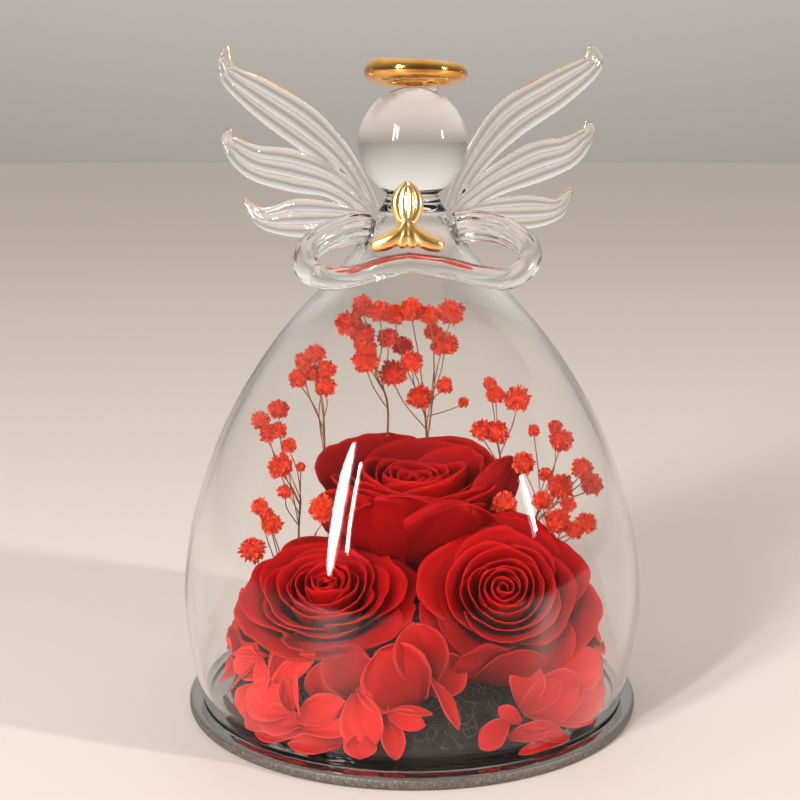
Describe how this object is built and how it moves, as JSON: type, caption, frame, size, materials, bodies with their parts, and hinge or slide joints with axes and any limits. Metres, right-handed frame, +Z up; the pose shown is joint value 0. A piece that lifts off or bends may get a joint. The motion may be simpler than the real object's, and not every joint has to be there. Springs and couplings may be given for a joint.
{
  "type": "preserved rose in glass dome",
  "caption": "Clear glass dome shaped as a winged angel with a gold halo and praying hands, standing on a thin round base over preserved red roses, hydrangea, baby's breath and moss.",
  "frame": {"origin": "middle of the underside of the base plate", "axes": "+Z up through the neck and the head, +X towards the figure's wing on the right of the picture, -Y out of the front, where the hands are"},
  "size_m": [0.1214, 0.1214, 0.173],
  "materials": {
    "clear_glass": "clear blown and pressed glass, polished by fire, thicker at the shoulders and solid in the head",
    "gold": "bright gold coating on glass",
    "base_black": "glossy black top and a speckled grey-brown edge",
    "rose_petal": "velvety deep red petal",
    "rose_heart": "velvety dark red rolled petals",
    "hydrangea": "dry coral-red petal with fine veins",
    "babys_breath": "dry coral-red small petals on thin reddish stems",
    "moss": "dark grey dried moss with curly fibres"
  },
  "bodies": {
    "root": {"base_plate": "base_black", "glass_dome": "clear_glass", "head": "clear_glass", "halo": "gold", "halo_post": "clear_glass", "wing_right": "clear_glass", "wing_left": "clear_glass", "arm_right": "clear_glass", "arm_left": "clear_glass", "praying_hands": "gold", "moss_bed": "moss", "babys_breath_back_left": "babys_breath", "babys_breath_back_top": "babys_breath", "babys_breath_left_lower": "babys_breath", "babys_breath_left_middle": "babys_breath", "babys_breath_left_outer": "babys_breath", "babys_breath_left_upper": "babys_breath", "babys_breath_right_lower": "babys_breath", "babys_breath_right_outer": "babys_breath", "babys_breath_right_upper": "babys_breath", "hydrangea_back_left": "hydrangea", "hydrangea_back_left_inner": "hydrangea", "hydrangea_back_right": "hydrangea", "hydrangea_back_right_inner": "hydrangea", "hydrangea_front_left": "hydrangea", "hydrangea_front_left_outer": "hydrangea", "hydrangea_front_middle": "hydrangea", "hydrangea_front_right": "hydrangea", "hydrangea_left": "hydrangea", "hydrangea_right": "hydrangea", "hydrangea_right_front": "hydrangea", "rose_back_heart": "rose_heart", "rose_back_petal_1": "rose_petal", "rose_back_petal_2": "rose_petal", "rose_back_petal_3": "rose_petal", "rose_back_petal_4": "rose_petal", "rose_back_petal_5": "rose_petal", "rose_back_petal_6": "rose_petal", "rose_back_petal_7": "rose_petal", "rose_back_petal_8": "rose_petal", "rose_left_heart": "rose_heart", "rose_left_petal_1": "rose_petal", "rose_left_petal_2": "rose_petal", "rose_left_petal_3": "rose_petal", "rose_left_petal_4": "rose_petal", "rose_left_petal_5": "rose_petal", "rose_left_petal_6": "rose_petal", "rose_left_petal_7": "rose_petal", "rose_left_petal_8": "rose_petal", "rose_right_heart": "rose_heart", "rose_right_petal_1": "rose_petal", "rose_right_petal_2": "rose_petal", "rose_right_petal_3": "rose_petal", "rose_right_petal_4": "rose_petal", "rose_right_petal_5": "rose_petal", "rose_right_petal_6": "rose_petal", "rose_right_petal_7": "rose_petal", "rose_right_petal_8": "rose_petal"}
  },
  "joints": []
}
